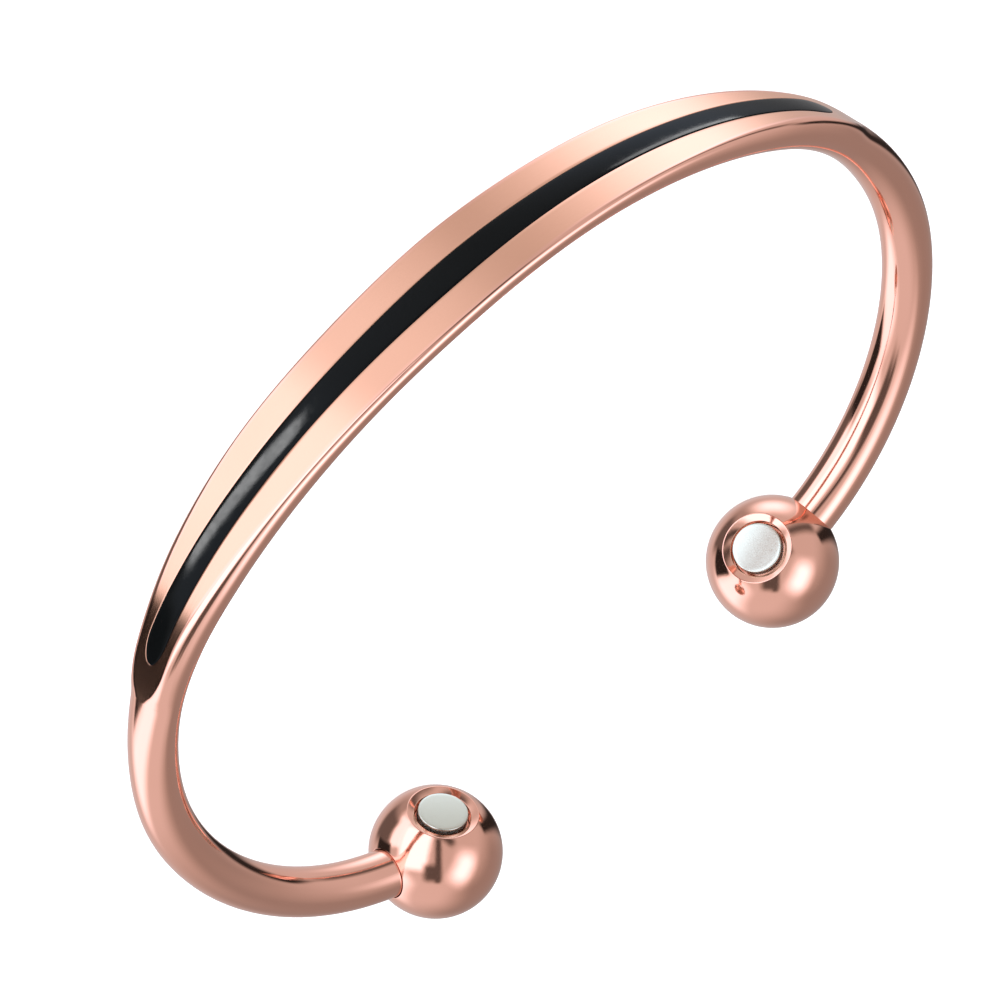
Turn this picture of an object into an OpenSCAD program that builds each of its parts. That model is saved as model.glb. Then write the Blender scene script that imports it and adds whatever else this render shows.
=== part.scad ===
// Copper torque bangle. One bar is hand bent round the wrist: a broad band with a flat face on the
// outside, running out into a round rod at each end. A line of black enamel is let into the face.
// A ball is pressed on each end, and a round magnet is set in each ball, facing the wrist.
// The bangle lies on its side. X runs from ball to ball, Y from the balls towards the band and Z is
// up. The origin is under the middle of the whole bangle, on the surface that it rests on.
// All sizes are in millimetres.

/* [Bar] */
// Half the length of the bar, from the middle of the band to the centre of a ball
half_len = 73; // [70:0.5:76]
// Diameter of the round rod
rod_d = 3.4; // [3.2:0.1:3.6]
// Length at each end that is left straight for the ball
straight_end = 3.5; // [3:0.5:5]
// Share of its bend that the left half loses at the middle of the band, from bending by hand
left_flatter = 0.36; // [0:0.02:0.5]

/* [Balls] */
// Diameter of each ball
ball_d = 9; // [8:0.5:11]
// How far the bar stops short of a ball's centre
rod_short = 1; // [0.8:0.1:2]
// Gap round the rod in a ball's hole
rod_gap = 0.05; // [0.04:0.01:0.08]

/* [Magnets] */
// Diameter of each magnet
magnet_d = 3.4; // [2.8:0.1:3.5]
// Thickness of each magnet
magnet_t = 1.2; // [0.8:0.1:1.4]
// Distance of a magnet's face from its ball's centre
magnet_reach = 3.95; // [3.9:0.05:4.1]
// Gap round a magnet
magnet_gap = 0.2; // [0.1:0.05:0.25]
// Diameter of the ring that is dished round a magnet
dish_d = 4.8; // [4.4:0.1:5]
// Depth of the dished ring at its inner edge
dish_depth = 0.2; // [0.1:0.05:0.3]
// Angles by which the left and the right magnet face up, out of the bangle's plane
magnet_raise = [10.5, 16.5]; // [0:0.5:20]
// Angles by which the left and the right magnet face away from the opening
magnet_lean = [1, -2]; // [-6:0.5:6]

/* [Enamel line] */
// Depth of the channel for the enamel
channel_depth = 0.5; // [0.4:0.05:0.6]
// Gap between the enamel and the channel
enamel_gap = 0.03; // [0.02:0.01:0.04]
// Height by which the enamel is crowned over the face
enamel_crown = 0.06; // [0.04:0.01:0.1]
// Start of the channel's rounded nose, as a share of half the length of the bar
nose_start = 0.412; // [0.39:0.002:0.42]
// End of the channel, as a share of half the length of the bar
channel_end = 0.44; // [0.43:0.002:0.45]

/* [Hidden] */

rod_r = rod_d / 2;
ball_r = ball_d / 2;
copper = [0.85, 0.56, 0.44];
black = [0.06, 0.07, 0.07];
nickel = [0.86, 0.86, 0.84];
round_fn = 96;

// Sections of the bar, from the middle of the band to a ball. The columns are the place as a share
// of half the length, the radius that the centre line is bent to, the bar's thickness from the
// centre line to the wrist, half its width, the height of its outside over the centre line, half
// the width of the flat face, and the width of the enamel line. The face ends in a half ellipse
// where the rod begins.
PLACE = 0;
BEND = 1;
INNER = 2;
HALF_W = 3;
OUTER = 4;
FLAT = 5;
LINE = 6;
SECTIONS = [
    [0.000, 49.5, 1.50, 3.90, 0.50, 3.65, 2.40],
    [0.120, 37.5, 1.60, 3.75, 0.50, 3.40, 2.15],
    [0.240, 33.5, 1.65, 3.45, 0.70, 3.10, 1.95],
    [0.340, 26.5, 1.65, 3.00, 1.00, 2.25, 1.85],
    [0.410, 21.5, 1.60, 2.45, 1.25, 1.50, 1.80],
    [0.475, 19.0, 1.60, 2.00, 1.30, 1.25, 1.80],
    [0.540, 18.0, rod_r, 1.80, 1.45, 0, 1.80],
    [0.620, 19.0, rod_r, rod_r, rod_r, 0, 1.80],
    [0.700, 21.0, rod_r, rod_r, rod_r, 0, 1.80],
    [0.800, 22.0, rod_r, rod_r, rod_r, 0, 1.80],
    [1.000, 18.5, rod_r, rod_r, rod_r, 0, 1.80]
];
FLAT_END = SECTIONS[5][PLACE];
// Place at which the face starts to round off
flat_round = 0.43;

// The section's rounds are superellipses whose power eases from the band's to a true ellipse's 2
band_power = 2.2;
power_from = 0.2;
power_to = 0.6;
// The extra flatness of the left half fades out at this place
flatter_to = 0.46;

// How finely the bar is cut along and round
steps = 60;
shoulder_steps = 8;
inner_steps = 18;
// Least half width of the strip of surface that holds the channel, and of the channel itself
least_strip = 0.6;
least_channel = 0.15;
// Inward slope of the channel's walls, and the length over which its floor rises at each end
wall_draft = 0.06;
floor_rise = 1.8;
// Least length of channel that stays free at each end of the enamel
enamel_short = 0.6;

step = (half_len - rod_short) / steps;

// Value of a column at a place, on a smooth cubic through the rows of SECTIONS
function row_at(t) = max([for (i = [0:len(SECTIONS) - 2]) if (SECTIONS[i][PLACE] <= t) i]);
function slope(column, i) =
    let (below = SECTIONS[max(i - 1, 0)], above = SECTIONS[min(i + 1, len(SECTIONS) - 1)])
    i == 0 ? 0 : (above[column] - below[column]) / (above[PLACE] - below[PLACE]);
function at(column, t) =
    let (
        i = row_at(t),
        low = SECTIONS[i],
        high = SECTIONS[i + 1],
        span = high[PLACE] - low[PLACE],
        x = (t - low[PLACE]) / span
    )
    low[column] * (2 * pow(x, 3) - 3 * pow(x, 2) + 1)
    + high[column] * (3 * pow(x, 2) - 2 * pow(x, 3))
    + slope(column, i) * span * (pow(x, 3) - 2 * pow(x, 2) + x)
    + slope(column, i + 1) * span * (pow(x, 3) - pow(x, 2));

function limit(value, low, high) = max(low, min(high, value));
function side_power(value, power) = sign(value) * pow(abs(value), power);

// Bend of the centre line in degrees for each millimetre, s millimetres from the middle
function bend(s, side) =
    let (t = s / half_len, flatter = side < 0 ? left_flatter * max(0, 1 - t / flatter_to) : 0)
    s > half_len - straight_end ? 0 : (180 / PI) * (1 - flatter) / at(BEND, t);

// One step along the centre line. A point of the line is [x, y, heading], and the heading turns
// clockwise from +X.
function next_point(p, s, length, side) =
    let (turn = bend(s + length / 2, side) * length, middle = p.z + turn / 2)
    [p.x + length * cos(middle), p.y - length * sin(middle), p.z + turn];

// The centre line of one half, from the middle to the end of the bar
function half_line(side) =
    [for (i = 0, p = [0, 0, 0]; i <= steps; p = next_point(p, i * step, step, side), i = i + 1) p];

right_line = half_line(1);
left_line = half_line(-1);

// The whole line from left to right, with the distance from the middle: [x, y, heading, s]
LINE_POINTS = concat(
    [for (i = [steps:-1:1]) [-left_line[i].x, left_line[i].y, -left_line[i].z, -i * step]],
    [for (i = [0:steps]) [right_line[i].x, right_line[i].y, right_line[i].z, i * step]]
);

// A ball's centre is straight on from the end of the bar
function ball_centre(line, side) =
    let (end = line[steps])
    [side * (end.x + rod_short * cos(end.z)), end.y - rod_short * sin(end.z)];

centre_left = ball_centre(left_line, -1);
centre_right = ball_centre(right_line, 1);

// The bangle is turned so that the balls are level along X, then tipped until the band's lower edge
// touches the surface that the balls stand on
level = atan2(centre_right.y - centre_left.y, centre_right.x - centre_left.x);
function levelled(p) =
    let (x = p.x - centre_left.x, y = p.y - centre_left.y)
    [x * cos(level) + y * sin(level), y * cos(level) - x * sin(level), p.z];
band_y = levelled([0, 0, 0]).y;
band_half_w = SECTIONS[0][HALF_W];
tip = asin(ball_r / norm([band_half_w, band_y])) - atan2(band_half_w, band_y);
function tipped(p) =
    let (q = levelled(p))
    [q.x, q.y * cos(tip) + q.z * sin(tip), q.z * cos(tip) - q.y * sin(tip)];

// Point of the bar's frame, n outwards from the centre line and z across the band
function in_frame(p, n, z) = tipped([p.x + n * sin(p.z), p.y + n * cos(p.z), z]);

// Measures of the section at a place
function power_at(t) =
    2 + (band_power - 2) * limit((power_to - t) / (power_to - power_from), 0, 1);
function flat_half(t) =
    let (x = limit((t - flat_round) / (FLAT_END - flat_round), 0, 1))
    x < 1 ? at(FLAT, t) * sqrt(1 - x * x) : 0;
function strip_half(t) = max(flat_half(t), least_strip);
// Half the width of the channel, which ends in a half ellipse
function channel_half(t) =
    let (x = limit((t - nose_start) / (channel_end - nose_start), 0, 1))
    limit(at(LINE, t) / 2 * sqrt(1 - x * x), least_channel, strip_half(t) - 2 * wall_draft);
function channel_at(t) =
    channel_depth * limit((channel_end - t) * half_len / floor_rise, 0, 1);
// Height of the outer surface at a distance z across the band
function top_at(t, z) =
    let (
        flat = flat_half(t),
        x = max(abs(z) - flat, 0) / (at(HALF_W, t) - flat),
        power = power_at(t)
    )
    at(OUTER, t) * pow(1 - pow(x, power), 1 / power);

// Outline of the section: a shoulder, the round by the wrist, the other shoulder, and over the
// channel. A point is [n, z]. A shoulder is a quarter of a superellipse that starts level with the
// flat face, and the round by the wrist is half of one.
function section(t) =
    let (
        power = power_at(t),
        half = at(HALF_W, t),
        flat = flat_half(t),
        strip = strip_half(t),
        start = asin(pow((strip - flat) / (half - flat), power / 2)),
        shoulder = [for (i = [0:shoulder_steps])
            let (angle = start + (90 - start) * i / shoulder_steps)
            [at(OUTER, t) * pow(cos(angle), 2 / power),
                flat + (half - flat) * pow(sin(angle), 2 / power)]],
        lip = channel_half(t),
        foot = lip - wall_draft,
        floor_n = top_at(t, 0) - channel_at(t)
    )
    concat(
        shoulder,
        [for (i = [1:inner_steps - 1])
            let (angle = 180 * i / inner_steps)
            [-at(INNER, t) * pow(sin(angle), 2 / power), half * side_power(cos(angle), 2 / power)]],
        [for (i = [shoulder_steps:-1:0]) [shoulder[i][0], -shoulder[i][1]]],
        [[top_at(t, lip), -lip], [floor_n, -foot], [floor_n, foot], [top_at(t, lip), lip]]
    );

// Triangles of a closed tube of rings, each with count points
function tube_faces(rings, count) = concat(
    [[for (j = [0:count - 1]) j]],
    [for (i = [0:rings - 2]) for (j = [0:count - 1])
        let (a = i * count + j, b = i * count + (j + 1) % count)
        each [[a, a + count, b], [b, a + count, b + count]]],
    [[for (j = [count - 1:-1:0]) (rings - 1) * count + j]]
);

bar_points = [for (p = LINE_POINTS) each [for (q = section(abs(p[3]) / half_len))
    in_frame(p, q[0], q[1])]];
bar_ring = 2 * shoulder_steps + inner_steps + 5;

// Section of the enamel: the channel less the gap, with a low crown over the face
function enamel_section(t) =
    let (
        lip = channel_half(t) - enamel_gap,
        foot = lip - wall_draft,
        low = top_at(t, 0) - channel_at(t) + enamel_gap,
        high = top_at(t, 0),
        crown = enamel_crown * min(1, lip)
    )
    [[low, foot], [low, -foot], [high, -lip], [high + 0.75 * crown, -lip / 2], [high + crown, 0],
        [high + 0.75 * crown, lip / 2], [high, lip]];

enamel_line = [for (p = LINE_POINTS) if (abs(p[3]) < channel_end * half_len - enamel_short) p];
enamel_points = [for (p = enamel_line) each [for (q = enamel_section(abs(p[3]) / half_len))
    in_frame(p, q[0], q[1])]];
enamel_ring = 7;

// The origin goes under the middle of the bangle's box
all_x = [for (p = concat(bar_points, enamel_points)) p.x];
all_y = [for (p = concat(bar_points, enamel_points)) p.y];
shift = [-(min(all_x) + max(all_x)) / 2, -(max(all_y) - ball_r) / 2, ball_r];

module placed() {
    translate(shift) children();
}

module bangle_bar() {
    color(copper) placed()
        polyhedron(bar_points, tube_faces(len(LINE_POINTS), bar_ring), convexity = 10);
}

module inlay_strip() {
    color(black) placed()
        polyhedron(enamel_points, tube_faces(len(enamel_line), enamel_ring), convexity = 10);
}

// The frame of a ball: +X goes on along the bar's heading and +Y points away from the wrist
module at_ball(line, side) {
    centre = levelled(concat(ball_centre(line, side), [0]));
    placed() rotate([-tip, 0, 0]) translate(centre) rotate([0, 0, -level])
        mirror([side < 0 ? 1 : 0, 0, 0]) rotate([0, 0, -line[steps].z]) children();
}

// The frame of a magnet, the left one's being number 0: +Z points out of its face
module at_magnet(number) {
    rotate([0, 0, -magnet_lean[number]]) rotate([90 - magnet_raise[number], 0, 0]) children();
}

module ball(number) {
    hole_r = rod_r + rod_gap;
    pocket_r = magnet_d / 2 + magnet_gap;
    dish_r = dish_d / 2;
    rim_z = sqrt(pow(ball_r, 2) - pow(dish_r, 2));
    color(copper) difference() {
        sphere(r = ball_r, $fn = round_fn);
        rotate([0, -90, 0]) translate([0, 0, rod_short - rod_gap])
            cylinder(r = hole_r, h = ball_r, $fn = round_fn);
        at_magnet(number) translate([0, 0, magnet_reach - magnet_t - enamel_gap])
            cylinder(r = pocket_r, h = ball_r, $fn = round_fn);
        at_magnet(number) rotate_extrude($fn = round_fn)
            polygon([[0, rim_z - dish_depth], [pocket_r, rim_z - dish_depth], [dish_r, rim_z],
                [dish_r, ball_d], [0, ball_d]]);
    }
}

module magnet(number) {
    color(nickel) at_magnet(number) translate([0, 0, magnet_reach - magnet_t])
        cylinder(d = magnet_d, h = magnet_t, $fn = round_fn);
}

module ball_left() {
    at_ball(left_line, -1) ball(0);
}

module ball_right() {
    at_ball(right_line, 1) ball(1);
}

module magnet_left() {
    at_ball(left_line, -1) magnet(0);
}

module magnet_right() {
    at_ball(right_line, 1) magnet(1);
}

bangle_bar();
inlay_strip();
ball_left();
ball_right();
magnet_left();
magnet_right();
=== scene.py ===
"""Copper torque bangle: a broad flat-faced band with a black enamel line, round rods and ball ends.

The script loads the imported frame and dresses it. The bar, its enamel, the two balls and their
magnets are smooth surfaces worked out from the same named sizes as the solids that they stand for.
Lengths in the classes are millimetres, and they become metres when a mesh is made.
"""

import logging
import math
from dataclasses import dataclass, field
from enum import Enum

import bpy
import numpy as np
from mathutils import Matrix, Vector

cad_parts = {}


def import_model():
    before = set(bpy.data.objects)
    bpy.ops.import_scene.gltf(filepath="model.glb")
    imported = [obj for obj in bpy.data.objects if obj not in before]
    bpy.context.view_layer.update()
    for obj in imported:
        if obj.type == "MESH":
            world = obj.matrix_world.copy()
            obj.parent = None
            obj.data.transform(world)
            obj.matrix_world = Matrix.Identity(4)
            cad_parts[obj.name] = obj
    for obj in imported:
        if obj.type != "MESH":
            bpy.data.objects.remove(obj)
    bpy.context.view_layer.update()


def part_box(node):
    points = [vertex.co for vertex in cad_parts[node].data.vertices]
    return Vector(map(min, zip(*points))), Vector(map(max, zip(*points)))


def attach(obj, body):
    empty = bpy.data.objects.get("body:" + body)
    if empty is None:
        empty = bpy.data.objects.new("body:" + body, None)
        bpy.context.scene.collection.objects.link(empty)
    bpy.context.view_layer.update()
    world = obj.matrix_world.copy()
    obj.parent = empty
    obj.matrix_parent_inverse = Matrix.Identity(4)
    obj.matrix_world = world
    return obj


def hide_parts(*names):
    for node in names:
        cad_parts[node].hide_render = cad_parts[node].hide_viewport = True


log = logging.getLogger("bangle")

MM = 0.001
BODY = "root"


class Side(Enum):
    """The two halves of the bangle, by the sign of X."""

    LEFT = -1
    RIGHT = 1

    @property
    def word(self) -> str:
        """The side's name as the nodes spell it."""
        return self.name.lower()


class Column(Enum):
    """The columns of the table of sections.

    They are the place as a share of half the length, the radius that the centre line is bent to,
    the thickness from the centre line to the wrist, half the width, the height of the outside over
    the centre line, half the width of the flat face, and the width of the enamel line.
    """

    PLACE = 0
    BEND = 1
    INNER = 2
    HALF_W = 3
    OUTER = 4
    FLAT = 5
    LINE = 6


def turn_x(angle: float) -> np.ndarray:
    """Matrix that turns by an angle in radians about X."""
    c, s = math.cos(angle), math.sin(angle)
    return np.array([[1, 0, 0], [0, c, -s], [0, s, c]])


def turn_z(angle: float) -> np.ndarray:
    """Matrix that turns by an angle in radians about Z."""
    c, s = math.cos(angle), math.sin(angle)
    return np.array([[c, -s, 0], [s, c, 0], [0, 0, 1]])


def ease(x: np.ndarray) -> np.ndarray:
    """Smooth step from 0 to 1, level at both ends."""
    x = np.clip(x, 0, 1)
    return x * x * (3 - 2 * x)


def grid_faces(rows: int, count: int) -> list[list[int]]:
    """Faces of a closed tube of rings whose two ends are closed with a fan round one point.

    Args:
        rows: Number of rings.
        count: Points in a ring.

    Returns:
        Quads between the rings, then triangles to the first pole and to the last one, which
        follow the rings in the list of points.
    """
    ring = np.arange(count)
    after = (ring + 1) % count
    base = (np.arange(rows - 1) * count)[:, None]
    quads = np.stack([base + ring, base + after, base + count + after, base + count + ring], -1)
    first, last = rows * count, rows * count + 1
    top = (rows - 1) * count
    start = np.stack([np.full(count, first), after, ring], -1)
    end = np.stack([np.full(count, last), top + ring, top + after], -1)
    return quads.reshape(-1, 4).tolist() + start.tolist() + end.tolist()


def make_tube(name: str, rings: np.ndarray, inside_out: bool = False) -> bpy.types.Object:
    """Makes a closed smooth mesh from rings of points.

    Args:
        name: Name of the piece.
        rings: Points in millimetres, of shape rows, count, 3.
        inside_out: True if the rings turn the other way, as in a mirrored piece.

    Returns:
        The new object, at the origin, with its place in its mesh.
    """
    if inside_out:
        rings = rings[:, ::-1]
    rows, count = rings.shape[:2]
    poles = np.stack([rings[0].mean(0), rings[-1].mean(0)])
    points = np.concatenate([rings.reshape(-1, 3), poles]) * MM
    mesh = bpy.data.meshes.new(name)
    mesh.from_pydata(points.tolist(), [], grid_faces(rows, count))
    mesh.polygons.foreach_set("use_smooth", np.ones(len(mesh.polygons), bool))
    mesh.update()
    piece = bpy.data.objects.new(name, mesh)
    bpy.context.scene.collection.objects.link(piece)
    return piece


def add_values(piece: bpy.types.Object, name: str, values: np.ndarray) -> None:
    """Gives a piece a value at each point, for its material to read.

    Args:
        piece: The piece.
        name: Name of the attribute.
        values: One value for each ring point, of shape rows, count.
    """
    ends = [values[0].mean(), values[-1].mean()]
    attribute = piece.data.attributes.new(name, "FLOAT", "POINT")
    attribute.data.foreach_set("value", np.append(values.ravel(), ends).astype(np.float32))


@dataclass(frozen=True)
class BangleForm:
    """Sizes of the bangle in millimetres and the line that its bar is bent to."""

    half_len: float = 73.0
    rod_r: float = 1.7
    straight_end: float = 3.5
    left_flatter: float = 0.36
    flatter_to: float = 0.46
    ball_r: float = 4.5
    rod_short: float = 1.0
    rod_gap: float = 0.05
    band_power: float = 2.2
    power_from: float = 0.2
    power_to: float = 0.6
    flat_round: float = 0.43
    steps: int = 60
    flat_end_row: int = 5
    sections: tuple[tuple[float, ...], ...] = (
        (0.000, 49.5, 1.50, 3.90, 0.50, 3.65, 2.40),
        (0.120, 37.5, 1.60, 3.75, 0.50, 3.40, 2.15),
        (0.240, 33.5, 1.65, 3.45, 0.70, 3.10, 1.95),
        (0.340, 26.5, 1.65, 3.00, 1.00, 2.25, 1.85),
        (0.410, 21.5, 1.60, 2.45, 1.25, 1.50, 1.80),
        (0.475, 19.0, 1.60, 2.00, 1.30, 1.25, 1.80),
        (0.540, 18.0, rod_r, 1.80, 1.45, 0.0, 1.80),
        (0.620, 19.0, rod_r, rod_r, rod_r, 0.0, 1.80),
        (0.700, 21.0, rod_r, rod_r, rod_r, 0.0, 1.80),
        (0.800, 22.0, rod_r, rod_r, rod_r, 0.0, 1.80),
        (1.000, 18.5, rod_r, rod_r, rod_r, 0.0, 1.80),
    )

    @property
    def flat_end(self) -> float:
        """Place at which the flat face ends."""
        return self.sections[self.flat_end_row][Column.PLACE.value]

    @property
    def step(self) -> float:
        """Length of one step of the centre line."""
        return (self.half_len - self.rod_short) / self.steps

    def column(self, name: Column, t: np.ndarray) -> np.ndarray:
        """Value of a column of the sections at a place.

        Args:
            name: The column.
            t: Places along the half length, from 0 to 1.

        Returns:
            Values on a cubic between each two rows, whose slope at a row is that of the line
            through the rows on either side, and level at the middle of the band.
        """
        table = np.array(self.sections)
        place, value = table[:, Column.PLACE.value], table[:, name.value]
        slope = np.gradient(value, place)
        slope[1:-1] = (value[2:] - value[:-2]) / (place[2:] - place[:-2])
        slope[0] = 0
        i = np.clip(np.searchsorted(place, t, side="right") - 1, 0, len(place) - 2)
        span = place[i + 1] - place[i]
        x = (t - place[i]) / span
        return (
            value[i] * (2 * x**3 - 3 * x**2 + 1)
            + value[i + 1] * (3 * x**2 - 2 * x**3)
            + slope[i] * span * (x**3 - 2 * x**2 + x)
            + slope[i + 1] * span * (x**3 - x**2)
        )

    def half_line(self, side: Side) -> np.ndarray:
        """The bent centre line of one half.

        Args:
            side: Which half.

        Returns:
            Rows of x, y and heading in radians at each step. The bend at a step's middle turns the
            heading, and the step is laid along the mean of its two headings.
        """
        s = (np.arange(self.steps) + 0.5) * self.step
        t = s / self.half_len
        flatter = self.left_flatter * np.maximum(0, 1 - t / self.flatter_to)
        share = 1 - (flatter if side is Side.LEFT else 0)
        bend = np.where(s > self.half_len - self.straight_end, 0, share / self.column(Column.BEND, t))
        turn = bend * self.step
        heading = np.append(0, np.cumsum(turn))
        middle = heading[:-1] + turn / 2
        x = np.append(0, np.cumsum(self.step * np.cos(middle)))
        y = np.append(0, np.cumsum(-self.step * np.sin(middle)))
        return np.stack([x, y, heading], -1)

    def line(self, s: np.ndarray) -> tuple[np.ndarray, np.ndarray]:
        """The centre line and its outward normal.

        Args:
            s: Distances from the middle of the band, below 0 on the left.

        Returns:
            Points and outward normals, of shape len(s), 3. Between two steps a point lies on the
            cubic that has the steps' own headings.
        """
        point, normal = np.zeros((len(s), 3)), np.zeros((len(s), 3))
        for side in Side:
            on = s < 0 if side is Side.LEFT else s >= 0
            rows = self.half_line(side)
            far = np.abs(s[on]) / self.step
            i = np.clip(far.astype(int), 0, self.steps - 1)
            x = far - i
            a, b = rows[i], rows[i + 1]
            lean_a = np.stack([np.cos(a[:, 2]), -np.sin(a[:, 2])], -1) * self.step
            lean_b = np.stack([np.cos(b[:, 2]), -np.sin(b[:, 2])], -1) * self.step
            w = [2 * x**3 - 3 * x**2 + 1, x**3 - 2 * x**2 + x, 3 * x**2 - 2 * x**3, x**3 - x**2]
            flat = sum(
                weight[:, None] * part
                for weight, part in zip(w, (a[:, :2], lean_a, b[:, :2], lean_b), strict=True)
            )
            heading = a[:, 2] + (b[:, 2] - a[:, 2]) * x
            sign = side.value
            point[on] = np.stack([sign * flat[:, 0], flat[:, 1], 0 * x], -1)
            normal[on] = np.stack([sign * np.sin(heading), np.cos(heading), 0 * x], -1)
        return point, normal

    def around_line(self, s: np.ndarray, n: np.ndarray, z: np.ndarray) -> np.ndarray:
        """Points round the centre line.

        Args:
            s: Distances along the line.
            n: Distances out from it, of shape len(s), count.
            z: Distances across it, of the same shape.

        Returns:
            Points of the bar's own frame, of shape len(s), count, 3.
        """
        centre, normal = self.line(s)
        up = np.array([0.0, 0.0, 1.0])
        return centre[:, None] + n[..., None] * normal[:, None] + z[..., None] * up

    def ball_centre(self, side: Side) -> np.ndarray:
        """Centre of a ball in the bar's own frame."""
        x, y, heading = self.half_line(side)[-1]
        reach = self.rod_short
        return np.array([side.value * (x + reach * math.cos(heading)), y - reach * math.sin(heading), 0])

    def heading(self, side: Side) -> float:
        """Heading of the bar's end in radians."""
        return float(self.half_line(side)[-1, 2])


@dataclass
class Lie:
    """How the bangle lies: level along the balls, then tipped onto the band's lower edge."""

    form: BangleForm
    turn: np.ndarray = field(init=False)
    start: np.ndarray = field(init=False)
    shift: np.ndarray = field(init=False)

    def __post_init__(self) -> None:
        """Works out the turn, and takes the place from the left ball's box in the frame."""
        left, right = (self.form.ball_centre(side) for side in Side)
        level = math.atan2(right[1] - left[1], right[0] - left[0])
        band_y = (turn_z(-level) @ -left)[1]
        half_w = float(self.form.column(Column.HALF_W, np.zeros(1))[0])
        tip = math.asin(self.form.ball_r / math.hypot(half_w, band_y)) - math.atan2(half_w, band_y)
        self.turn = turn_x(-tip) @ turn_z(-level)
        self.start = left
        low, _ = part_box("ball_left")
        self.shift = np.array(low) / MM + self.form.ball_r

    def place(self, points: np.ndarray) -> np.ndarray:
        """Points of the bar's frame as they lie, in millimetres."""
        return (points - self.start) @ self.turn.T + self.shift


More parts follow.
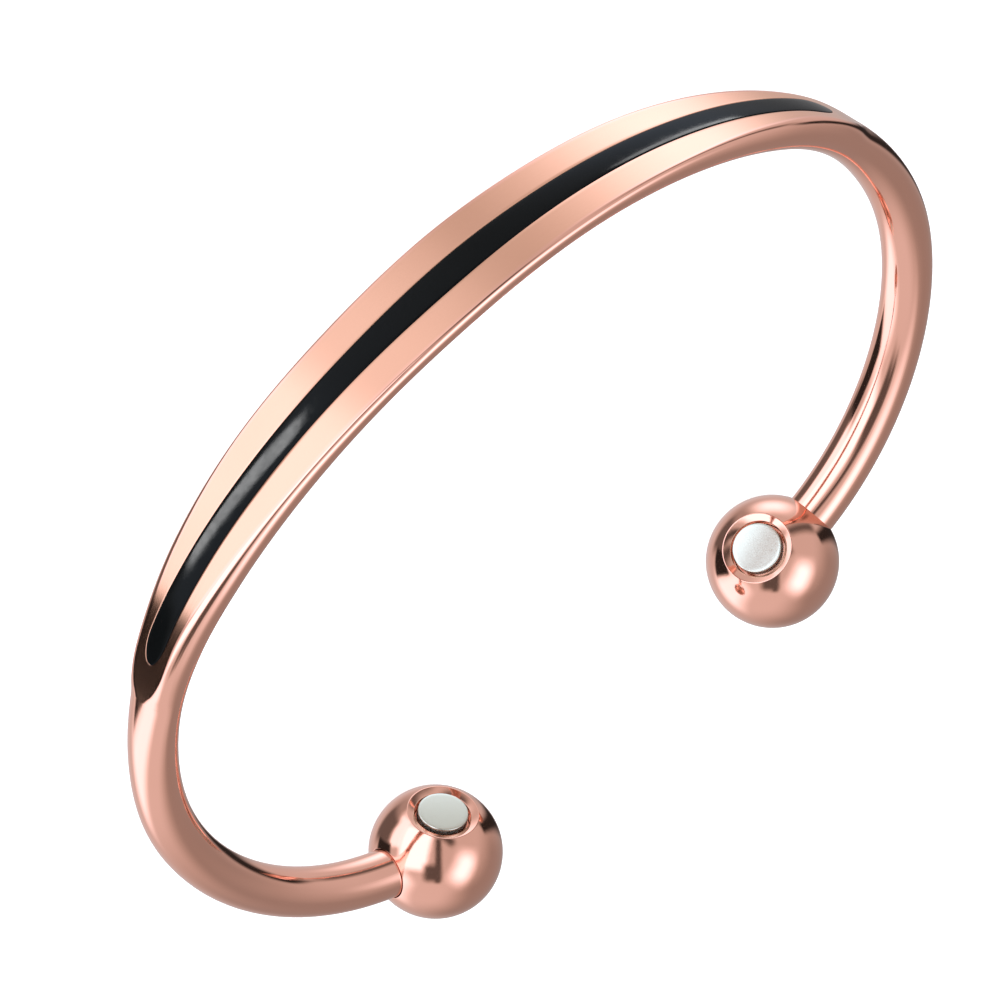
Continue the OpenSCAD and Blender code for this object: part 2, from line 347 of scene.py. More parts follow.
@dataclass
class Bar:
    """The bent bar: band, rods and the channel for the enamel.

    A row of wall is a point of half the channel: its share of the way along the floor, its share
    of the way up the wall, and the share of the floor that it moves inwards past the channel's end.
    """

    form: BangleForm
    lie: Lie
    least_strip: float = 0.6
    channel_depth: float = 0.5
    nose_start: float = 0.412
    channel_end: float = 0.44
    end_rise: float = 0.3
    least_channel: float = 0.04
    lip_round: float = 0.03
    satin_border: float = 0.05
    tip_soft: float = 0.5
    tip_shifts: int = 25
    mark_rise: float = 0.5
    foot_share: float = 0.97
    bevel_share: float = 0.3
    lip_shares: tuple[float, ...] = (0.3, 0.7, 1.0)
    wall: tuple[tuple[float, float, float], ...] = (
        (0, 0, 0), (0.5, 0, 0.1), (0.94, 0, 0.34), (1, 0.06, 0.2), (1, 0.5, 0),
    )
    face_points: int = 9
    shoulder_points: int = 34
    inner_points: int = 38
    band_rows: int = 88
    nose_rows: int = 44
    tip_rows: int = 44
    rod_rows: int = 104
    past_nose: float = 0.02
    past_tip: float = 0.1

    def stations(self) -> np.ndarray:
        """Distances along the bar, closest together where the channel and the face round off."""
        half_len = self.form.half_len
        nose, end = self.nose_start * half_len, self.channel_end * half_len
        tip = self.form.flat_end * half_len
        runs = (
            np.linspace(0, nose, self.band_rows),
            nose + (end - nose) * np.sin(np.linspace(0, np.pi / 2, self.nose_rows)),
            end + (tip - end) * np.sin(np.linspace(self.past_nose, np.pi / 2, self.tip_rows)),
            np.linspace(tip + self.past_tip, half_len - self.form.rod_short, self.rod_rows),
        )
        half = np.unique(np.concatenate(runs))
        return np.concatenate([-half[:0:-1], half])

    def power(self, t: np.ndarray) -> np.ndarray:
        """Power of the section's rounds, which eases to an ellipse's 2 on the rod."""
        form = self.form
        share = (form.power_to - t) / (form.power_to - form.power_from)
        return 2 + (form.band_power - 2) * np.clip(share, 0, 1)

    def flat(self, t: np.ndarray) -> np.ndarray:
        """Half the width of the flat face, a half ellipse at its end, averaged over a short way."""
        form = self.form
        total = 0 * t
        shifts = np.linspace(-self.tip_soft, self.tip_soft, self.tip_shifts) / form.half_len
        for shift in shifts:
            place = np.abs(t + shift)
            x = np.clip((place - form.flat_round) / (form.flat_end - form.flat_round), 0, 1)
            total = total + form.column(Column.FLAT, np.minimum(place, 1)) * np.sqrt(1 - x * x) * (x < 1)
        return total / len(shifts)

    def line_half(self, t: np.ndarray) -> np.ndarray:
        """Half the width of the channel, which ends in a half ellipse."""
        x = np.clip((t - self.nose_start) / (self.channel_end - self.nose_start), 0, 1)
        return self.form.column(Column.LINE, t) / 2 * np.sqrt(1 - x * x)

    def depth(self, t: np.ndarray) -> np.ndarray:
        """Depth of the channel, which rises to the face at its end."""
        left = (self.channel_end - t) * self.form.half_len
        return self.channel_depth * ease(left / self.end_rise)

    def top(self, t: np.ndarray, z: np.ndarray) -> np.ndarray:
        """Height of the outer surface at a distance z across the bar."""
        flat, power = self.flat(t), self.power(t)
        x = np.clip((np.abs(z) - flat) / (self.form.column(Column.HALF_W, t) - flat), 0, 1)
        return self.form.column(Column.OUTER, t) * (1 - x**power) ** (1 / power)

    def section(self, t: np.ndarray) -> tuple[np.ndarray, np.ndarray]:
        """Outline of the bar's section at each place.

        Args:
            t: Places along the half length, as a column.

        Returns:
            Height over the centre line and distance across. Half an outline runs from the middle
            of the channel's floor up its wall and over its lip, across the flat face, over the
            shoulder, which is a quarter of a superellipse that starts level with the face, and
            round by the wrist on another quarter. The other half is its mirror image. Past the
            channel's end the points of its wall spread apart, so that no face there is empty.
        """
        form = self.form
        power, half, flat = self.power(t), form.column(Column.HALF_W, t), self.flat(t)
        strip = np.maximum(flat, self.least_strip)
        lip, depth = np.maximum(self.line_half(t), self.least_channel), self.depth(t)
        foot = self.foot_share * lip
        floor_n, top_n = self.top(t, 0 * t) - depth, self.top(t, lip)
        bevel = np.minimum(self.lip_round, self.bevel_share * depth)
        flush = 1 - np.clip(depth / self.lip_round, 0, 1)
        z_parts = [foot * (across - apart * flush) for across, _, apart in self.wall] + [lip]
        n_parts = [floor_n + (top_n - floor_n) * up for _, up, _ in self.wall] + [top_n - bevel]
        for share in self.lip_shares:
            z_parts.append(lip + self.lip_round * share)
            n_parts.append(self.top(t, z_parts[-1]) - bevel * (1 - share) ** 2)
        first = z_parts[-1]
        for share in np.linspace(0, 1, self.face_points + 1)[1:]:
            z_parts.append(first + (strip - first) * share)
            n_parts.append(self.top(t, z_parts[-1]))
        start = np.arcsin(np.clip((strip - flat) / (half - flat), 0, 1) ** (power / 2))
        angle = start + (np.pi / 2 - start) * np.linspace(0, 1, self.shoulder_points + 1)[1:]
        z_parts.append(flat + (half - flat) * np.sin(angle) ** (2 / power))
        outer = form.column(Column.OUTER, t)
        n_parts.append(outer * np.clip(np.cos(angle), 0, 1) ** (2 / power))
        angle = np.pi / 2 * np.linspace(0, 1, self.inner_points + 1)[1:]
        z_parts.append(half * np.clip(np.cos(angle), 0, 1) ** (2 / power))
        n_parts.append(-form.column(Column.INNER, t) * np.sin(angle) ** (2 / power))
        n, z = np.concatenate(n_parts, 1), np.concatenate(z_parts, 1)
        return (
            np.concatenate([n, n[:, -2:0:-1]], 1),
            np.concatenate([z, -z[:, -2:0:-1]], 1),
        )

    def build(self) -> bpy.types.Object:
        """Makes the bar, with the face's mark and the places along and round it as values."""
        s = self.stations()
        t = (np.abs(s) / self.form.half_len)[:, None]
        n, z = self.section(t)
        piece = make_tube("bar", self.lie.place(self.form.around_line(s, n, z)))
        flat = self.flat(t)
        mark = ease((flat - np.abs(z)) / self.satin_border) * ease(flat / self.mark_rise) * (n > 0)
        gap = np.hypot(np.diff(n, axis=1), np.diff(z, axis=1))
        around = np.concatenate([np.zeros((len(s), 1)), np.cumsum(gap, 1)], 1)
        add_values(piece, "face_mark", mark)
        add_values(piece, "along", s[:, None] + 0 * n)
        add_values(piece, "around", around)
        return piece


@dataclass
class Enamel:
    """The black enamel in the bar's channel."""

    bar: Bar
    crown: float = 0.06
    gap: float = 0.02
    edge_share: float = 0.2
    straight_rows: int = 200
    nose_rows: int = 40
    crown_points: int = 14

    def build(self) -> bpy.types.Object:
        """Makes the enamel.

        Returns:
            A strip that fills the channel up to the face less a small gap. Its top is a low arch,
            the crown times the square root of one less the square of the place across.
        """
        bar, form = self.bar, self.bar.form
        nose = bar.nose_start * form.half_len
        end = bar.channel_end * form.half_len - 2 * self.gap
        tip = nose + (end - nose) * np.sin(np.linspace(0, np.pi / 2, self.nose_rows))[1:]
        straight = np.linspace(-nose, nose, self.straight_rows)
        s = np.concatenate([-tip[::-1], straight, tip])
        t = (np.abs(s) / form.half_len)[:, None]
        lip = np.maximum(bar.line_half(t) - self.gap, self.gap)
        top = bar.top(t, 0 * t)
        low = top - np.maximum(bar.depth(t) - self.gap, self.gap)
        across = np.cos(np.linspace(0, np.pi, self.crown_points))
        arch = self.crown * np.minimum(1, lip) * np.sqrt(np.clip(1 - across**2, 0, 1))
        is_edge = np.isclose(np.abs(across), 1)
        edge = np.minimum(self.gap, self.edge_share * bar.depth(t)) * is_edge
        foot = bar.foot_share * lip
        z = np.concatenate([foot, 0 * t, -foot, -lip * across], 1)
        n = np.concatenate([low, low, low, top - edge + arch], 1)
        return make_tube("enamel_line", bar.lie.place(form.around_line(s, n, z)))


@dataclass
class BallEnd:
    """A ball with the hole for the rod, the dish and the pocket for its magnet, and the magnet.

    In a ball's own frame the bar's heading is +X and the side away from the wrist is +Y. The
    angles are in degrees, the left ball's first.
    """

    form: BangleForm
    lie: Lie
    side: Side
    magnet_r: float = 1.7
    magnet_t: float = 1.2
    magnet_reach: float = 3.95
    magnet_gap: float = 0.2
    magnet_round: float = 0.09
    magnet_dome: float = 0.04
    dish_r: float = 2.4
    dish_depth: float = 0.2
    raise_angles: tuple[float, float] = (10.5, 16.5)
    lean_angles: tuple[float, float] = (1, -2)
    rim_round: float = 0.05
    rim_reach: float = 1.5
    hole_round: float = 0.1
    pocket_round: float = 0.08
    pocket_spare: float = 0.03
    hub_r: float = 0.02
    dome_start: float = 0.9
    edge_drop: float = 1.3
    ring_points: int = 240
    ball_rows: int = 120
    corner_points: int = 7
    disc_points: int = 128
    dome_rows: int = 16

    def magnet_axis(self) -> np.ndarray:
        """Outward axis of the magnet in the ball's frame."""
        number = list(Side).index(self.side)
        lean, up = (math.radians(angles[number]) for angles in (self.lean_angles, self.raise_angles))
        return turn_z(-lean) @ turn_x(math.pi / 2 - up) @ [0, 0, 1]

    def place(self, points: np.ndarray) -> np.ndarray:
        """Points of the ball's frame as they lie."""
        turned = points @ turn_z(-self.form.heading(self.side)).T
        turned = turned * [self.side.value, 1, 1]
        return self.lie.place(turned + self.form.ball_centre(self.side))

    def between(self, first: tuple[np.ndarray, float], last: tuple[np.ndarray, float]) -> np.ndarray:
        """Rings of the ball's surface between two circles on it that don't touch.

        Args:
            first: Axis and distance of the first circle's plane, in ball radii.
            last: The same for the last circle.

        Returns:
            Rings of unit vectors. A circle is the plane n.x = d, written as the four-vector (d, n)
            of special relativity, and the two light-like vectors in the span of both circles are
            the points a and b that the rings shrink to. A point of the surface is then
            exp(-v) A + exp(v) B + g (cos u E + sin u F), divided by its first part, where E and F
            are at right angles to both circles: rings of constant v run from one to the other,
            and they cross the lines of constant u squarely.
        """

        def product(p: np.ndarray, q: np.ndarray) -> np.ndarray:
            return p[..., 0] * q[..., 0] - (p[..., 1:] * q[..., 1:]).sum(-1)

        c1 = np.append(first[1], first[0])
        c2 = np.append(last[1], last[0])
        roots = np.roots([product(c2, c2), 2 * product(c1, c2), product(c1, c1)]).real
        ends = [c1 + k * c2 for k in roots]
        ends = [e / e[0] for e in ends]
        ends.sort(key=lambda e: -float(e[1:] @ first[0]))
        a, b = ends
        basis = []
        for seed in np.eye(4)[1:]:
            e = seed.copy()
            ab = product(a, b)
            e = e - a * product(e, b) / ab - b * product(e, a) / ab
            for other in basis:
                e = e + other * product(e, other)
            if product(e, e) < -0.05 and len(basis) < 2:
                basis.append(e / math.sqrt(-product(e, e)))
        v1 = 0.5 * math.log(-product(a, c1) / product(b, c1))
        v2 = 0.5 * math.log(-product(a, c2) / product(b, c2))
        v = np.linspace(v1, v2, self.ball_rows)[:, None, None]
        u = np.linspace(0, 2 * np.pi, self.ring_points, endpoint=False)[None, :, None]
        g = math.sqrt(2 * product(a, b))
        x = np.exp(-v) * a + np.exp(v) * b + g * (np.cos(u) * basis[0] + np.sin(u) * basis[1])
        return x[..., 1:] / x[..., :1]

    def turned_rings(self, ring: np.ndarray, axis: np.ndarray, profile: np.ndarray) -> np.ndarray:
        """Rings round an axis that keep the spacing of a ring's points.

        Args:
            ring: A ring of the surface.
            axis: The axis.
            profile: Rows of radius and height along the axis.

        Returns:
            One ring for each row of the profile.
        """
        out = ring - (ring @ axis)[:, None] * axis
        out /= np.linalg.norm(out, axis=1)[:, None]
        return profile[:, :1, None] * out[None] + profile[:, 1:, None] * axis

    def rounded(self, corners: list[tuple[float, float, float]]) -> np.ndarray:
        """A profile through corners, each rounded.

        Args:
            corners: Radius, height and rounding of each corner.

        Returns:
            Rows of radius and height. A corner's rounding is a parabola that starts and ends that
            far from it.
        """
        rows = np.array(corners)
        out = [rows[:1, :2]]
        x = np.linspace(0, 1, self.corner_points)[:, None]
        for before, here, after in zip(rows[:-2], rows[1:-1], rows[2:], strict=True):
            p, r = here[:2], here[2]
            a = p + (before[:2] - p) / np.linalg.norm(before[:2] - p) * r
            b = p + (after[:2] - p) / np.linalg.norm(after[:2] - p) * r
            out.append((1 - x) ** 2 * a + 2 * x * (1 - x) * p + x**2 * b)
        out.append(rows[-1:, :2])
        return np.concatenate(out)

    def build_ball(self) -> bpy.types.Object:
        """Makes the ball as one closed surface, from the bottom of its hole to its pocket's."""
        r, rim = self.form.ball_r, self.rim_round
        hole_r = self.form.rod_r + self.form.rod_gap
        pocket_r = self.magnet_r + self.magnet_gap
        rod_axis, axis = np.array([-1.0, 0, 0]), self.magnet_axis()

        def height(radius: float) -> float:
            return math.sqrt(r * r - radius * radius)

        rings = r * self.between(
            (rod_axis, height(hole_r + rim) / r), (axis, height(self.dish_r + rim) / r)
        )
        floor = self.form.rod_short - self.form.rod_gap
        hole_edge, dish_edge = (radius + self.rim_reach * rim for radius in (hole_r, self.dish_r))
        mouth = self.rounded([
            (self.hub_r, floor, 0),
            (hole_r, floor, self.hole_round),
            (hole_r, height(hole_r), rim),
            (hole_edge, height(hole_edge), 0),
        ])[:-1]
        rim_z = height(self.dish_r)
        pocket_z = self.magnet_reach - self.magnet_t - self.pocket_spare
        dish = self.rounded([
            (dish_edge, height(dish_edge), 0),
            (self.dish_r, rim_z, rim),
            (pocket_r, rim_z - self.dish_depth, rim),
            (pocket_r, pocket_z, self.pocket_round),
            (self.hub_r, pocket_z, 0),
        ])[1:]
        hole_rings = self.turned_rings(rings[0], rod_axis, mouth)
        dish_rings = self.turned_rings(rings[-1], axis, dish)
        rings = np.concatenate([hole_rings, rings[1:-1], dish_rings])
        flip = self.side is Side.LEFT
        return make_tube(f"ball_{self.side.word}_end", self.place(rings), inside_out=flip)

    def build_magnet(self) -> bpy.types.Object:
        """Makes the magnet, a disc with a rounded edge and a face that is domed a very little."""
        low, high = self.magnet_reach - self.magnet_t, self.magnet_reach
        axis = self.magnet_axis()
        seed = np.cross(axis, [0, 0, 1.0])
        seed /= np.linalg.norm(seed)
        u = np.linspace(0, 2 * np.pi, self.disc_points, endpoint=False)[:, None]
        ring = np.cos(u) * seed + np.sin(u) * np.cross(axis, seed)
        side = self.rounded([
            (self.hub_r, low, 0),
            (self.magnet_r, low, self.pocket_round),
            (self.magnet_r, high - self.edge_drop * self.magnet_dome, self.magnet_round),
            (self.dome_start * self.magnet_r, high - self.magnet_dome, 0),
        ])[:-1]
        across = np.linspace(side[-1, 0], self.hub_r, self.dome_rows)[1:]
        dome = high - self.magnet_dome * (across / side[-1, 0]) ** 2
        profile = np.concatenate([side, np.stack([across, dome], -1)])
        rings = self.turned_rings(ring, axis, profile)
        flip = self.side is Side.LEFT
        return make_tube(f"magnet_{self.side.word}_disc", self.place(rings), inside_out=flip)


class Nodes:
    """A small helper that adds nodes to a tree and joins them."""

    def __init__(self, owner: bpy.types.Material | bpy.types.World) -> None:
        """Starts with an empty tree."""
        owner.use_nodes = True
        self.owner = owner
        self.tree = owner.node_tree
        self.tree.nodes.clear()

    @classmethod
    def of_material(cls, name: str) -> "Nodes":
        """Starts a new material."""
        return cls(bpy.data.materials.new(name))

    def add(self, kind: str, inputs: dict | None = None, **settings: object) -> bpy.types.Node:
        """Adds a node.

        Args:
            kind: The node's type.
            inputs: Values of its sockets, or the sockets that feed them.
            settings: The node's own settings.

        Returns:
            The node.
        """
        node = self.tree.nodes.new(kind)
        for key, value in settings.items():
            setattr(node, key, value)
        for key, value in (inputs or {}).items():
            if isinstance(value, bpy.types.NodeSocket):
                self.tree.links.new(value, node.inputs[key])
            else:
                node.inputs[key].default_value = value
        return node

    def math(self, operation: str, *values: object) -> bpy.types.NodeSocket:
        """Adds a Math node and returns its result."""
        node = self.add("ShaderNodeMath", dict(enumerate(values)), operation=operation)
        return node.outputs[0]

    def noise(self, vector: bpy.types.NodeSocket, scale: float, detail: float = 3) -> bpy.types.NodeSocket:
        """Adds a Noise Texture and returns its factor."""
        inputs = {"Vector": vector, "Scale": scale, "Detail": detail}
        return self.add("ShaderNodeTexNoise", inputs).outputs["Fac"]

    def spread(self, value: bpy.types.NodeSocket, low: float, high: float) -> bpy.types.NodeSocket:
        """Maps a value from 0.3 to 0.7 onto low to high."""
        inputs = {"Value": value, "From Min": 0.3, "From Max": 0.7, "To Min": low, "To Max": high}
        return self.add("ShaderNodeMapRange", inputs).outputs["Result"]

    def ramp(
        self, value: bpy.types.NodeSocket, start: float, end: float, low: float, high: float
    ) -> bpy.types.NodeSocket:
        """Maps a value from start to end smoothly onto low to high, and holds it there."""
        inputs = {"Value": value, "From Min": start, "From Max": end, "To Min": low, "To Max": high}
        node = self.add("ShaderNodeMapRange", inputs, interpolation_type="SMOOTHSTEP")
        return node.outputs["Result"]

    def finish(self, shader: bpy.types.Node) -> bpy.types.Material | bpy.types.World:
        """Joins the shader to the output and returns the material or world."""
        world = isinstance(self.owner, bpy.types.World)
        output = self.add("ShaderNodeOutputWorld" if world else "ShaderNodeOutputMaterial")
        self.tree.links.new(shader.outputs[0], output.inputs["Surface"])
        return self.owner


@dataclass(frozen=True)
class CopperFinish:
    """Polished rose copper, with a satin face on the band."""

    name: str = "rose copper"
    colour: tuple[float, float, float] = (0.895, 0.48, 0.365)
    deep: tuple[float, float, float] = (0.87, 0.455, 0.34)
    polish: float = 0.08
    polish_drift: tuple[float, float] = (0.8, 1.25)
    satin: float = 0.13
    cloud_scale: float = 90
    smear_scale: float = 260
    hair_scale: float = 2600
    drawn_scale: float = 14
    drawn_stretch: float = 0.02
    hair_strength: float = 0.02
    hair_depth: float = 0.0001
    face_tint: tuple[float, float, float] = (0.96, 0.97, 0.88)
    with_face: bool = False

    def make(self) -> bpy.types.Material:
        """Builds the material: colour and polish drift a little, and hairlines scatter the gloss."""
        n = Nodes.of_material(self.name)
        place = n.add("ShaderNodeTexCoord").outputs["Object"]
        cloud = n.noise(place, self.cloud_scale, 2)
        mix = n.add("ShaderNodeMix", {"Factor": n.spread(cloud, 0, 1)}, data_type="RGBA")
        mix.inputs["A"].default_value = (*self.colour, 1)
        mix.inputs["B"].default_value = (*self.deep, 1)
        smear = n.noise(place, self.smear_scale, 4)
        rough = n.spread(smear, *(share * self.polish for share in self.polish_drift))
        if self.with_face:
            mark = n.add("ShaderNodeAttribute", attribute_name="face_mark").outputs["Fac"]
            extra = n.math("MULTIPLY", mark, self.satin - self.polish)
            rough = n.math("ADD", rough, extra)
            face = n.add("ShaderNodeMix", {"Factor": mark}, data_type="RGBA", blend_type="MULTIPLY")
            n.tree.links.new(mix.outputs["Result"], face.inputs["A"])
            face.inputs["B"].default_value = (*self.face_tint, 1)
            mix = face
            along = n.add("ShaderNodeAttribute", attribute_name="along").outputs["Fac"]
            around = n.add("ShaderNodeAttribute", attribute_name="around").outputs["Fac"]
            stretched = n.math("MULTIPLY", along, self.drawn_stretch)
            drawn = n.add("ShaderNodeCombineXYZ", {"X": stretched, "Y": around})
            hairs = n.noise(drawn.outputs[0], self.drawn_scale, 2)
        else:
            hairs = n.noise(place, self.hair_scale, 2)
        relief = {"Height": hairs, "Strength": self.hair_strength, "Distance": self.hair_depth}
        bump = n.add("ShaderNodeBump", relief)
        shader = n.add("ShaderNodeBsdfPrincipled", {
            "Base Color": mix.outputs["Result"], "Metallic": 1.0, "Roughness": rough,
            "Normal": bump.outputs[0],
        })
        return n.finish(shader)


@dataclass(frozen=True)
class EnamelFinish:
    """Gloss black enamel with a faint unevenness."""

    name: str = "black enamel"
    colour: tuple[float, float, float] = (0.004, 0.0045, 0.0045)
    smooth: float = 0.09
    dull: float = 0.16
    gloss: float = 0.065
    wave_scale: float = 500
    cloud_scale: float = 1500
    wave_strength: float = 0.03
    wave_depth: float = 0.0002

    def make(self) -> bpy.types.Material:
        """Builds the material."""
        n = Nodes.of_material(self.name)
        place = n.add("ShaderNodeTexCoord").outputs["Object"]
        wave = n.noise(place, self.wave_scale, 2)
        relief = {"Height": wave, "Strength": self.wave_strength, "Distance": self.wave_depth}
        bump = n.add("ShaderNodeBump", relief)
        shader = n.add("ShaderNodeBsdfPrincipled", {
            "Base Color": (*self.colour, 1), "Normal": bump.outputs[0], "IOR": 1.5,
            "Roughness": n.spread(n.noise(place, self.cloud_scale), self.smooth, self.dull),
            "Specular IOR Level": self.gloss,
        })
        return n.finish(shader)


@dataclass(frozen=True)
class NickelFinish:
    """Pale nickel plate with a fine satin grain."""

    name: str = "nickel plate"
    colour: tuple[float, float, float] = (0.65, 0.655, 0.565)
    cloud_shade: float = 0.985
    smooth: float = 0.24
    dull: float = 0.27
    grain_scale: float = 3000
    cloud_scale: float = 400
    grain_strength: float = 0.01
    grain_depth: float = 0.00001

    def make(self) -> bpy.types.Material:
        """Builds the material."""
        n = Nodes.of_material(self.name)
        place = n.add("ShaderNodeTexCoord").outputs["Object"]
        grain = n.noise(place, self.grain_scale)
        cloud = n.noise(place, self.cloud_scale, 2)
        mix = n.add("ShaderNodeMix", {"Factor": n.spread(cloud, 0, 1)}, data_type="RGBA")
        mix.inputs["A"].default_value = (*self.colour, 1)
        mix.inputs["B"].default_value = (*(self.cloud_shade * c for c in self.colour), 1)
        relief = {"Height": grain, "Strength": self.grain_strength, "Distance": self.grain_depth}
        bump = n.add("ShaderNodeBump", relief)
        shader = n.add("ShaderNodeBsdfPrincipled", {
            "Base Color": mix.outputs["Result"], "Metallic": 0.9,
            "Roughness": n.spread(grain, self.smooth, self.dull), "Normal": bump.outputs[0],
        })
        return n.finish(shader)


@dataclass(frozen=True)
class Shot:
    """The camera of the photograph, given by how it looks at the bangle as it lies.

    Azimuth is from +Y towards +X and elevation above the floor, both towards the camera. The roll
    turns the camera about its own axis. The middle of the picture is the point at which it looks.
    """

    azimuth: float = math.radians(-18.124)
    elevation: float = math.radians(38.165)
    roll: float = math.radians(128.066)
    distance: float = 843.1
    pixels_per_mm: float = 15.474
    picture_width: int = 1000
    sensor_width: float = 36
    clip: tuple[float, float] = (0.01, 10)
    middle: tuple[float, float, float] = (-5.498, 13.999, 12.819)

    def axes(self) -> tuple[Vector, Vector, Vector]:
        """The camera's right, its top and the way back from the bangle to it."""
        a, e = self.azimuth, self.elevation
        back = Vector((math.cos(e) * math.sin(a), math.cos(e) * math.cos(a), math.sin(e)))
        level = Vector((0, 0, 1)).cross(back).normalized()
        right = math.cos(self.roll) * level + math.sin(self.roll) * back.cross(level)
        return right, back.cross(right), back

    def make(self) -> None:
        """Adds the camera and makes it the scene's."""
        right, top, back = self.axes()
        data = bpy.data.cameras.new("camera")
        data.sensor_width = self.sensor_width
        data.lens = self.pixels_per_mm * self.distance * self.sensor_width / self.picture_width
        data.clip_start, data.clip_end = self.clip
        camera = bpy.data.objects.new("camera", data)
        turn = Matrix((right, top, back)).transposed().to_4x4()
        place = (Vector(self.middle) + back * self.distance) * MM
        camera.matrix_world = Matrix.Translation(place) @ turn
        bpy.context.scene.collection.objects.link(camera)
        bpy.context.scene.camera = camera


@dataclass(frozen=True)
class Card:
    """A soft box or a dark card of the studio, far off, that the metal mirrors.

    Its middle lies so many degrees to the right of the photograph's camera and so many up, by the
    camera's own top. Width and height are degrees too, and so are its tilt, which turns it about
    its middle, and the width of its soft edge.
    """

    name: str
    right: float
    up: float
    width: float
    height: float
    tilt: float
    shine: float
    soft: float

    def frame(self, axes: tuple[Vector, Vector, Vector]) -> tuple[Vector, Vector, Vector]:
        """The card's own way across, way up and way out to its middle.

        Args:
            axes: The camera's right, top and back.

        Returns:
            Three directions of the scene at right angles to each other.
        """
        x, y, z = axes
        lon, lat, tilt = (math.radians(v) for v in (self.right, self.up, self.tilt))
        out = math.cos(lat) * (math.sin(lon) * x + math.cos(lon) * z) + math.sin(lat) * y
        level = math.cos(lon) * x - math.sin(lon) * z
        upright = out.cross(level)
        across = math.cos(tilt) * level + math.sin(tilt) * upright
        return across, out.cross(across), out


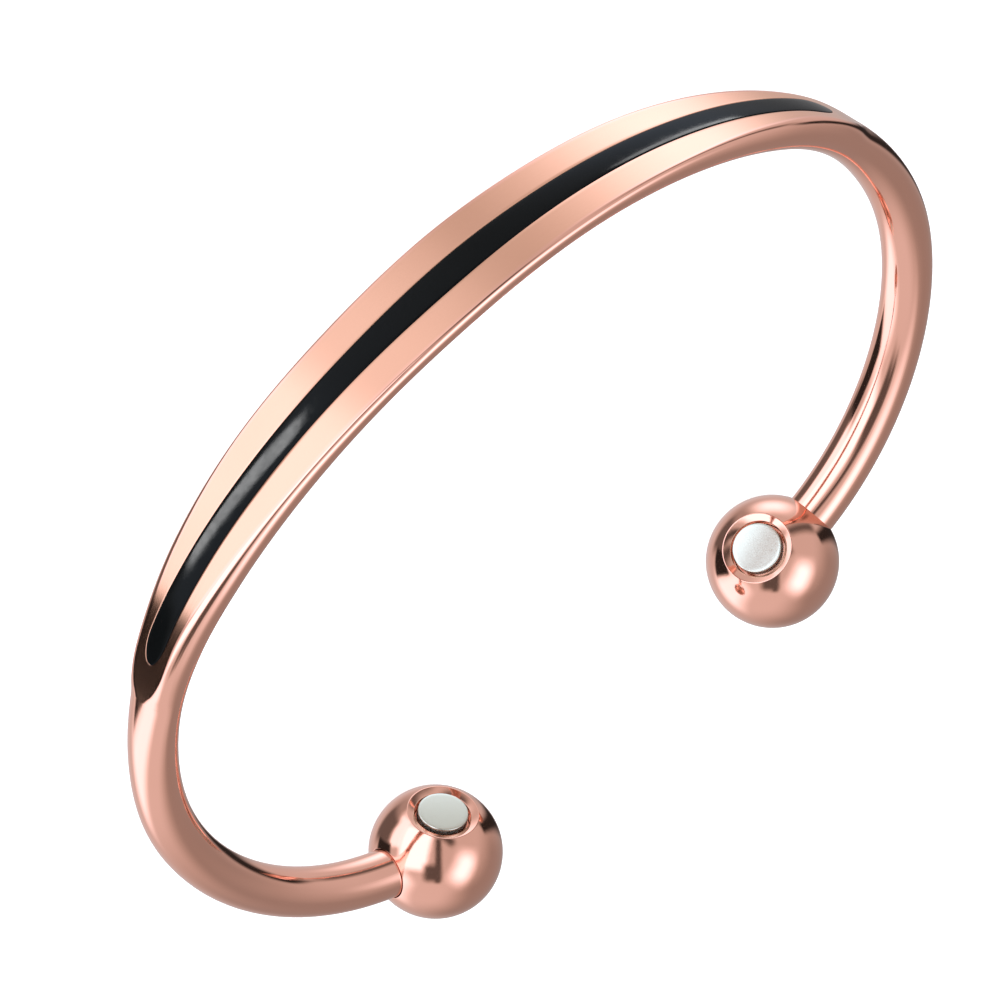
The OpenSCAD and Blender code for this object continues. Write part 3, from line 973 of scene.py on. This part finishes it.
@dataclass(frozen=True)
class Studio:
    """The plain floor, and the soft boxes and dark cards that stand round the bangle."""

    shot: Shot
    floor_size: float = 3.0
    floor_glow: float = 0.8
    floor_grey: float = 0.8
    floor_rough: float = 0.8
    lamp_far: float = 0.6
    ground: float = 0.74
    dim: float = 0.5
    bright: float = 1.9
    dim_tint: tuple[float, float, float] = (1.0, 0.97, 0.97)
    bright_tint: tuple[float, float, float] = (0.89, 1.0, 1.2)
    cards: tuple[Card, ...] = (
        Card("below", -60, -90, 90, 120, 0, 0.86, 50),
        Card("right_wall", 135, -25, 90, 90, 0, 0.38, 50),
        Card("left_low_glow", -96, -34, 58, 38, 0, 1.85, 24),
        Card("upper_left", -110, 52, 70, 30, 0, 0.45, 30),
        Card("upper_side", -76, 44, 30, 40, 0, 1.17, 18),
        Card("top_back", 178, 68, 32, 29, 0, 2.0, 26),
        Card("tall_box", -76, 28, 24, 42, 0, 1.8, 8),
        Card("soft_box_left", -38, 6, 54, 68, -10, 2.25, 14),
        Card("soft_box_right", 54, -25, 32, 46, -10, 2.3, 30),
        Card("camera_stand", 5, -15, 11, 78, 0, 0.1, 9),
        Card("camera_bag", -7, -36, 28, 30, 0, 0.13, 14),
        Card("flag_left_upper", -112, 26, 42, 34, 0, 0.16, 14),
        Card("flag_left", -102, -2, 35, 28, -6, 0.03, 6),
        Card("flag_right", 136, 20, 64, 13, -18, 0.03, 8),
        Card("flag_upper_right", 75, 50, 50, 14, -15, 0.15, 14),
        Card("flag_top", 5, 38, 16, 70, 50, 0.12, 14),
    )
    enamel_lamps: tuple[Card, ...] = (
        Card("enamel_box_left", -80, 31, 8, 27, -27, 40, 0),
        Card("enamel_box_right", 146, 73, 8, 26, 0, 17, 0),
    )

    def build_floor(self) -> None:
        """Adds a plain pale floor at the height that the bangle lies on, lit evenly from below."""
        half = self.floor_size / 2
        mesh = bpy.data.meshes.new("floor")
        corners = [(-half, -half, 0), (half, -half, 0), (half, half, 0), (-half, half, 0)]
        mesh.from_pydata(corners, [], [(0, 1, 2, 3)])
        floor = bpy.data.objects.new("floor", mesh)
        n = Nodes.of_material("pale floor")
        shader = n.add("ShaderNodeBsdfPrincipled", {
            "Base Color": (*[self.floor_grey] * 3, 1), "Roughness": self.floor_rough,
            "Emission Color": (1, 1, 1, 1), "Emission Strength": self.floor_glow,
        })
        mesh.materials.append(n.finish(shader))
        floor.visible_glossy = False
        bpy.context.scene.collection.objects.link(floor)

    def card_mask(self, n: Nodes, way: bpy.types.NodeSocket, card: Card) -> bpy.types.NodeSocket:
        """How much of a direction a card covers.

        Args:
            n: The world's nodes.
            way: The direction.
            card: The card.

        Returns:
            The product of two smooth steps, as wide as the card's soft edge. With the direction's
            parts a, u and o along the card's across, up and out, one goes by the size of
            atan2(a, o) against half the width and the other by that of asin(u) against half the
            height.
        """
        across, up, out = (
            n.add("ShaderNodeVectorMath", {0: way, 1: axis}, operation="DOT_PRODUCT").outputs["Value"]
            for axis in card.frame(self.shot.axes())
        )
        angles = (n.math("ARCTAN2", across, out), n.math("ARCSINE", up))
        sides = []
        for angle, size in zip(angles, (card.width, card.height), strict=True):
            far = n.math("ABSOLUTE", n.math("DEGREES", angle))
            sides.append(n.ramp(far, (size - card.soft) / 2, (size + card.soft) / 2, 1, 0))
        return n.math("MULTIPLY", *sides)

    def build_lamp(self, box: Card, lit: bpy.types.Collection) -> None:
        """Adds a lamp of the size of a soft box, and lets it light only some pieces.

        Args:
            box: The soft box.
            lit: The pieces that it lights.
        """
        data = bpy.data.lights.new(box.name, "AREA")
        data.shape = "RECTANGLE"
        data.size = 2 * self.lamp_far * math.tan(math.radians(box.width) / 2)
        data.size_y = 2 * self.lamp_far * math.tan(math.radians(box.height) / 2)
        data.energy = box.shine * math.pi * data.size * data.size_y
        lamp = bpy.data.objects.new(box.name, data)
        across, up, out = box.frame(self.shot.axes())
        turn = Matrix((across, up, out)).transposed().to_4x4()
        lamp.matrix_world = Matrix.Translation(Vector(self.shot.middle) * MM + out * self.lamp_far) @ turn
        lamp.light_linking.receiver_collection = lit
        bpy.context.scene.collection.objects.link(lamp)

    def build_surroundings(self) -> None:
        """Makes the world that the metal mirrors.

        Each card is laid over the ones before it. Bright parts are a little cooler than dim ones.
        The camera itself sees plain white past the floor.
        """
        world = bpy.data.worlds.new("studio")
        world.cycles.sampling_method = "NONE"
        bpy.context.scene.world = world
        n = Nodes(world)
        way = n.add("ShaderNodeTexCoord").outputs["Generated"]
        shine = self.ground
        for card in self.cards:
            inputs = {"Factor": self.card_mask(n, way, card), "A": shine, "B": card.shine}
            shine = n.add("ShaderNodeMix", inputs, data_type="FLOAT").outputs["Result"]
        cool = n.add("ShaderNodeMapRange", {"Value": shine, "From Min": self.dim, "From Max": self.bright})
        tint = n.add("ShaderNodeMix", {"Factor": cool.outputs["Result"]}, data_type="RGBA")
        tint.inputs["A"].default_value = (*self.dim_tint, 1)
        tint.inputs["B"].default_value = (*self.bright_tint, 1)
        studio = n.add("ShaderNodeBackground", {"Color": tint.outputs["Result"], "Strength": shine})
        plain = n.add("ShaderNodeBackground", {"Color": (1, 1, 1, 1), "Strength": 1.0})
        seen = n.add("ShaderNodeLightPath").outputs["Is Camera Ray"]
        n.finish(n.add("ShaderNodeMixShader", {0: seen, 1: studio.outputs[0], 2: plain.outputs[0]}))

    def build(self, enamel: bpy.types.Object) -> None:
        """Adds the floor, the surroundings and the enamel's own lamps."""
        self.build_floor()
        self.build_surroundings()
        lit = bpy.data.collections.new("enamel that the lamps light")
        lit.objects.link(enamel)
        for box in self.enamel_lamps:
            self.build_lamp(box, lit)
        bpy.context.scene.view_settings.view_transform = "Standard"


def dress(piece: bpy.types.Object, finish: bpy.types.Material, node: str) -> None:
    """Gives a piece its finish and puts it in a node's place.

    Args:
        piece: The piece.
        finish: Its material.
        node: The node that it stands for.
    """
    piece.data.materials.append(finish)
    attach(piece, BODY)
    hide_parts(node)
    log.info("%s stands for %s, with %d faces", piece.name, node, len(piece.data.polygons))


def main() -> None:
    """Builds the bangle, its surroundings and the camera."""
    logging.basicConfig(level=logging.INFO, format="%(name)s: %(message)s")
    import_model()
    form = BangleForm()
    lie = Lie(form)
    copper = CopperFinish().make()
    face_copper = CopperFinish(name="rose copper, satin face", with_face=True).make()
    enamel = EnamelFinish().make()
    nickel = NickelFinish().make()
    bar = Bar(form, lie)
    dress(bar.build(), face_copper, "bangle_bar")
    line = Enamel(bar).build()
    dress(line, enamel, "inlay_strip")
    for side in Side:
        end = BallEnd(form, lie, side)
        dress(end.build_ball(), copper, f"ball_{side.word}")
        dress(end.build_magnet(), nickel, f"magnet_{side.word}")
    shot = Shot()
    shot.make()
    Studio(shot).build(line)


if __name__ == "__main__":
    main()
